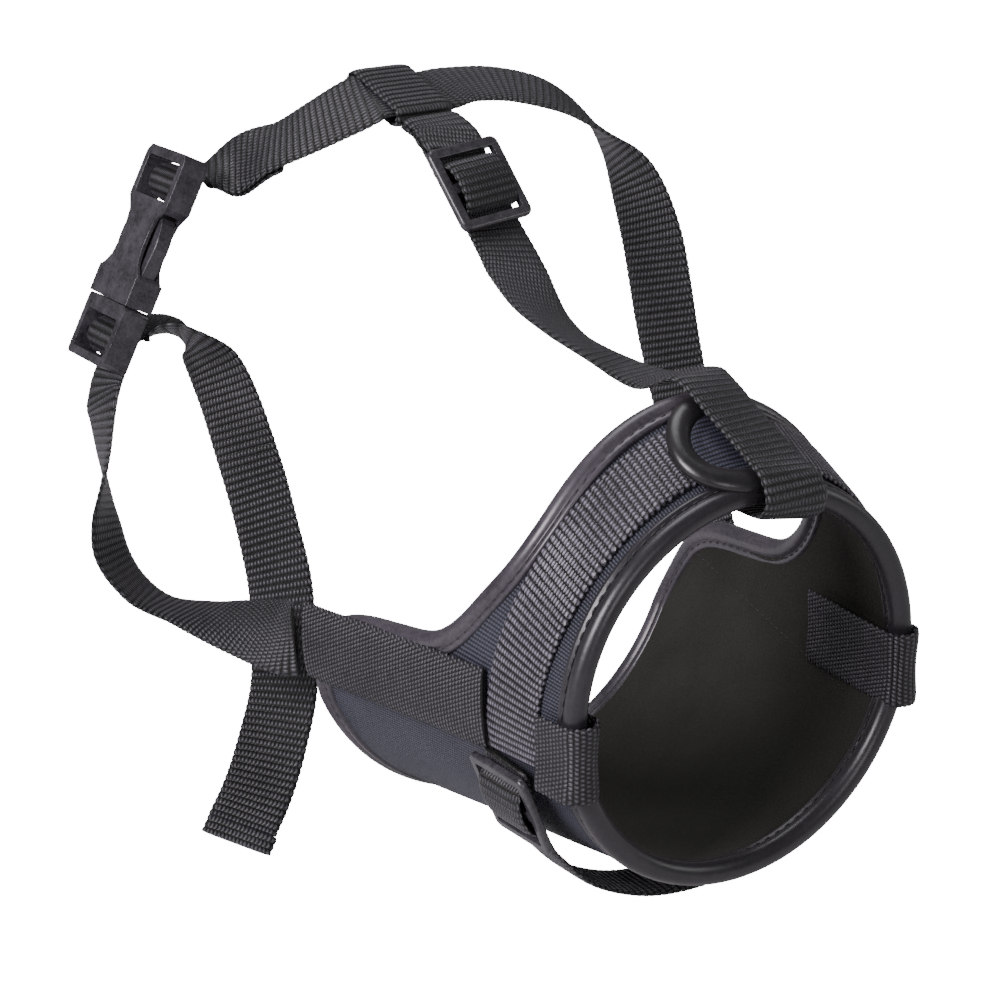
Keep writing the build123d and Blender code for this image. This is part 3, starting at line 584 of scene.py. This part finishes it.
# seams where the two halves of the lining meet
for side in (-1, 1):
    ys = np.linspace(6, 98, 200)
    th = (math.pi if side < 0 else 0) - side * 0.45 + side * 0.35 * (ys / 98)
    keep = ys < back_y(th) - 7
    line = on_sleeve(th[keep], ys[keep], 4.0)
    run = np.gradient(line, axis=0)
    inward = -sleeve_normal(th[keep], ys[keep])
    stitch_run("lining_seam_" + ("right" if side < 0 else "left"), line, run, inward, length=2.2, pitch=2.7,
               radius=0.22)

# ------------------------------------------------------------------ nose band
BAND_FRONT = [(95, 6), (50, 6), (37, 7), (25, 9), (14, 10.8), (0, 12), (-12.5, 13)]
BAND_BACK = [(95, 20.2), (60, 20.2), (50, 21.2), (37, 22.8), (25, 25.4), (11, 29.4), (0, 30.6), (-12.5, 31.8)]


def band_y(points, z):
    zs, ys = zip(*sorted(points))
    return np.interp(z, zs, ys)


def band_mesh():
    th = np.linspace(-0.235, math.pi + 0.235, 4001)
    mid = 0 * th + 19.0
    for _ in range(4):
        z = on_sleeve(th, mid, -1.0)[:, 2]
        mid = 0.5 * (band_y(BAND_FRONT, z) + band_y(BAND_BACK, z))
    for _ in range(3):
        k = np.ones(301) / 301
        mid = np.convolve(np.pad(mid, 150, mode="edge"), k, mode="valid")
    line = on_sleeve(th, mid, -1.0)
    s = np.concatenate([[0], np.cumsum(np.linalg.norm(np.diff(line, axis=0), axis=1))])
    t = np.linspace(0, s[-1], int(s[-1] / 0.26))
    th2, mid2 = np.interp(t, s, th), np.interp(t, s, mid)
    z = on_sleeve(th2, mid2, -1.0)[:, 2]
    half = 0.5 * (band_y(BAND_BACK, z) - band_y(BAND_FRONT, z))
    half = np.convolve(np.pad(half, 60, mode="edge"), np.ones(121) / 121, mode="valid")
    wave = np.abs(np.sin(math.pi * t / BAND_RIB)) ** 0.7
    cols = 21
    xs = np.linspace(-1, 1, cols)
    slope = np.gradient(mid2, t)
    P, L = [], []
    for side in (1, -1):
        for x in (xs if side > 0 else xs[::-1]):
            fade = 1 - abs(x) ** 10
            y = mid2 + x * half + np.sign(x) * 0.3 * wave * abs(x) ** 8
            th_x = th2 + (slope * x * half) * -1 / 75.0
            out = -1.15 - 0.5 * wave * fade if side > 0 else -0.35 + 0 * wave
            P.append(on_sleeve(th_x, y, out))
            L.append(np.stack([x * half, t, 0 * t], -1))
    P, L = np.stack(P, 1), np.stack(L, 1)
    verts, faces, lay = ring_grid(P, L, False)
    return mesh_object("nose_band_webbing", verts, faces, lay, MAT_BAND, "sleeve")


band = band_mesh()
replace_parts(band, "nose_band")

# ------------------------------------------------------------------ wing straps and side tabs


def wing(name, side, node):
    rows = []
    for y in np.linspace(31.5, 107.8, 12):
        z = -2.75 - 5.25 * (y - 31.5) / 76.3
        w = RIM_HALF_W + SPREAD_W * y + 1.9
        h = height_top(y) if z > 0 else height_low(y)
        x = w * math.sqrt(max(0, 1 - (z / (h + 1.9)) ** 2))
        rows.append(((side * x, y, z), (0, 0.06, -1)))
    ob = strap_mesh(name, smooth(rows), width=21.6, pitch=WING_RIB, rib=0.12, bow=side * -0.0072,
                    material=MAT_WING)
    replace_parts(ob, node)


wing("wing_webbing_right", -1, "wing_strap_right")
wing("wing_webbing_left", 1, "wing_strap_left")


def tab(name, side, node):
    rows = []
    z = -7.3

    def row(y, inset):
        w = RIM_HALF_W + SPREAD_W * y - inset
        x = w * math.sqrt(1 - (z / (height_low(y) - inset)) ** 2)
        rows.append(((side * x, y, z), (0, 0, -1)))

    for y in (10.6, 7, 3.5, 0.8):
        row(y, -2.0)
    for a in np.linspace(0.35, math.pi - 0.35, 7):
        row(0.4 - 3.9 * math.sin(a), 2.0 - 4.05 * math.cos(a))
    for y in (0.8, 4, 9, 15, 22, 29, 35.5):
        row(y, 6.05)
    ob = strap_mesh(name, smooth(rows), width=20.6, pitch=WING_RIB, rib=0.14, bow=side * -0.008,
                    material=MAT_WING)
    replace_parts(ob, node)


tab("side_tab_webbing_right", -1, "side_tab_right")
tab("side_tab_webbing_left", 1, "side_tab_left")

# ------------------------------------------------------------------ bridge patch
PATCH_C, PATCH_R = (2.0, 12.5), (17.0, 14.0)


def over_bridge(x, y, lift):
    w = RIM_HALF_W + SPREAD_W * y
    return np.stack([x, y, height_top(y) * np.sqrt(1 - (x / w) ** 2)], -1) + np.stack(
        [x / w * lift * 0.8, -0.5 * lift + 0 * x, 0.85 * lift + 0 * x], -1)


def patch_ring():
    a = np.linspace(0, 2 * math.pi, 220, endpoint=False)
    prof = [(0.0, 1.1), (0.1, 2.1), (0.8, 3.0), (2.0, 3.6), (3.4, 3.7), (4.8, 3.3), (5.8, 2.6), (6.2, 2.1),
             (6.2, 1.1)]
    P = np.stack([over_bridge(PATCH_C[0] + (PATCH_R[0] - q) * np.cos(a),
                 PATCH_C[1] + (PATCH_R[1] - q) * np.sin(a), h)
                  for q, h in prof], 1)
    L = np.zeros_like(P)
    verts, faces, lay = ring_grid(P, L, True)
    ob = mesh_object("patch_piping", verts, faces, lay, MAT_VINYL, "sleeve")
    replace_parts(ob, "bridge_patch_binding")


def patch_face():
    a = np.linspace(0, 2 * math.pi, 120, endpoint=False)
    P, L = [], []
    rs = np.linspace(1, 0.02, 22)
    for r in rs:
        x = PATCH_C[0] + (PATCH_R[0] - 6.1) * r * np.cos(a)
        y = PATCH_C[1] + (PATCH_R[1] - 6.1) * r * np.sin(a)
        P.append(over_bridge(x, y, 2.35 - 0.25 * math.exp(-((r - 0.7) / 0.12) ** 2)))
        L.append(np.stack([x, y, 0 * x], -1))
    for r in (0.02, 1.0):
        x = PATCH_C[0] + (PATCH_R[0] - 6.1) * r * np.cos(a)
        y = PATCH_C[1] + (PATCH_R[1] - 6.1) * r * np.sin(a)
        P.append(over_bridge(x, y, 1.6))
        L.append(np.stack([x, y, 0 * x], -1))
    P, L = np.stack(P, 0), np.stack(L, 0)
    P, L = np.transpose(P, (1, 0, 2)), np.transpose(L, (1, 0, 2))
    verts, faces, lay = ring_grid(P, L, True)
    ob = mesh_object("patch_face", verts, faces, lay, MAT_PATCH, "sleeve")
    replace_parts(ob, "bridge_patch")


patch_ring()
patch_face()

# ------------------------------------------------------------------ straps
neck_run, forehead_run = smooth(NECK), smooth(FOREHEAD)
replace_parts(strap_mesh("neck_webbing", neck_run), "neck_strap")
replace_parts(strap_mesh("forehead_webbing", forehead_run), "forehead_strap")
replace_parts(strap_mesh("chin_webbing", smooth(CHIN), width=18.0), "chin_strap")
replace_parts(strap_mesh("tail_webbing", smooth(TAIL), body="tail"), "strap_tail")
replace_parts(strap_mesh("tail_seal", smooth(TAIL_END), width=20.4, thick=1.8, rib=0.04, body="tail"),
            "strap_tail_seal")
cheek = strap_mesh("cheek_webbing", smooth(CHEEK), body=None)
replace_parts(cheek, "cheek_strap")
[v * MM for v in on_buckle(0, -18, -5)]
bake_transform(cheek)
hem = neck_run[int(0.9 * PER_STATION):int(3.3 * PER_STATION)]
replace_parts(strap_mesh("neck_hem", shift_run(hem, 1.9)), "neck_strap_hem")
fold = forehead_run[int(19.5 * PER_STATION):]
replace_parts(strap_mesh("forehead_return", shift_run(fold, 2.0)), "forehead_strap_return")

# keeper: closed racetrack of webbing
kx, ky, kr = 11.95, 2.45, 2.1
race = []
for cx, cy, a0 in ((kx - kr, ky - kr, 0), (-kx + kr, ky - kr, 90), (-kx + kr, -ky + kr, 180),
                   (kx - kr, -ky + kr, 270)):
    for a in np.radians(np.linspace(a0, a0 + 90, 5)):
        race.append((KEEPER.at(cx + kr * math.cos(a), cy + kr * math.sin(a), 0), KEEPER_ALONG))
    if a0 in (0, 180):
        sgn = 1 if a0 == 0 else -1
        for t in (0.6, 0.2, -0.2, -0.6):
            race.append((KEEPER.at(sgn * t * (kx - kr), sgn * ky, 0), KEEPER_ALONG))
keep = strap_mesh("keeper_webbing", smooth(race, closed=True, per=6), thick=1.5, closed=True)
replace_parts(keep, "keeper_loop")


def wrap(name, ax, reach, rise, base, thick, width, body, node):
    rows = []
    r = reach - thick / 2
    top = rise - thick / 2
    for a in np.linspace(0, math.pi, 13):
        rows.append((ax.at(0, -r * math.cos(a), base + top * math.sin(a) ** 0.9), tuple(ax.x)))
    ob = strap_mesh(name, smooth(rows), width=width, thick=thick, body=body)
    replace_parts(ob, node)


wrap("forehead_slider_webbing", GLIDE_TOP, 8.2, 4.3, -1.0, 1.3, 20, "top_slider", "forehead_slider_wrap")
wrap("chin_slider_webbing", GLIDE_CHIN, 8.2, 4.3, -1.0, 1.3, 18, "chin_slider_body", "chin_slider_wrap")
wrap("socket_webbing", Axes(BUCKLE.at(0, 37, -3.2), BUCKLE.x, BUCKLE.z), 5.5, 5.4, 0, 1.5, 20, "sleeve",
     "socket_strap_wrap")
wrap("plug_webbing", Axes(BUCKLE.at(0, -10.4, -3.2), BUCKLE.x, BUCKLE.z), 5.5, 5.4, 0, 1.5, 20, "plug",
     "plug_strap_wrap")

# ------------------------------------------------------------------ moulded plastic
for n, w in (("buckle_socket", 0.55), ("buckle_plug", 0.55), ("prong_front", 0.4), ("prong_back", 0.4),
             ("forehead_slider", 0.6), ("chin_slider", 0.6)):
    ob = NODES[n]
    ob.data.materials.clear()
    ob.data.materials.append(MAT_PLASTIC)
    weld = ob.modifiers.new("weld", "WELD")
    weld.merge_threshold = 1e-6
    bev = ob.modifiers.new("bevel", "BEVEL")
    bev.width = w * MM
    bev.segments = 3
    bev.limit_method = "ANGLE"
    bev.angle_limit = math.radians(35)
    bev.harden_normals = True

# ------------------------------------------------------------------ camera, light, floor
cam = bpy.data.cameras.new("cam")
cam.lens = 112.3
cam.sensor_width = 36
cam_ob = bpy.data.objects.new("cam", cam)
bpy.context.scene.collection.objects.link(cam_ob)
az, el = math.radians(-35), math.radians(20)
back = Vector((math.sin(az) * math.cos(el), -math.cos(az) * math.cos(el), math.sin(el)))
cam_ob.location = (-0.47355, -0.56633, 0.31819)
cam_ob.rotation_euler = back.to_track_quat("Z", "Y").to_euler()
bpy.context.scene.camera = cam_ob


def area(name, loc, target, size, power, color):
    li = bpy.data.lights.new(name, "AREA")
    li.shape = "RECTANGLE"
    li.size, li.size_y = size
    li.energy = power
    li.color = color
    ob = bpy.data.objects.new(name, li)
    bpy.context.scene.collection.objects.link(ob)
    ob.location = loc
    ob.rotation_euler = (Vector(loc) - Vector(target)).to_track_quat("Z", "Y").to_euler()


CENTRE = (-0.02, 0.08, 0.03)
area("key", (-1.2, -0.1, 0.75), CENTRE, (0.6, 0.5), 30, (1, 0.94, 1.0))
area("front", (-0.35, -1.4, 0.5), CENTRE, (0.5, 0.4), 5, (1, 0.96, 1))
area("top", (0.1, 0.5, 1.3), CENTRE, (0.8, 0.8), 10, (0.96, 0.95, 1.0))
area("right", (1.3, -0.5, 0.5), CENTRE, (0.5, 0.6), 3, (1, 1, 1))

world = bpy.data.worlds.new("studio")
bpy.context.scene.world = world
world.use_nodes = True
# the world and the floor look white to the camera, and light the part only softly
wnt = world.node_tree
bg = wnt.nodes["Background"]
bg.inputs[0].default_value = (1, 1, 1, 1)
path = wnt.nodes.new("ShaderNodeLightPath")
seen = path.outputs["Is Camera Ray"]
wnt.links.new(math_node(wnt, "ADD", WORLD_LIGHT, math_node(wnt, "MULTIPLY", seen, CAMERA_WHITE)),
              bg.inputs[1])

fm, fnt, fb = new_material("floor")
fb.inputs["Base Color"].default_value = (0.6, 0.6, 0.6, 1)
fb.inputs["Roughness"].default_value = 0.9
fb.inputs["Specular IOR Level"].default_value = 0.0
fb.inputs["Emission Color"].default_value = (1, 1, 1, 1)
fpath = fnt.nodes.new("ShaderNodeLightPath")
fnt.links.new(math_node(fnt, "MULTIPLY", fpath.outputs["Is Camera Ray"], CAMERA_WHITE),
              fb.inputs["Emission Strength"])
fme = bpy.data.meshes.new("floor")
z = -0.0935
fme.from_pydata([(-6, -6, z), (6, -6, z), (6, 6, z), (-6, 6, z)], [], [(0, 1, 2, 3)])
fme.materials.append(fm)
floor = bpy.data.objects.new("floor", fme)
bpy.context.scene.collection.objects.link(floor)

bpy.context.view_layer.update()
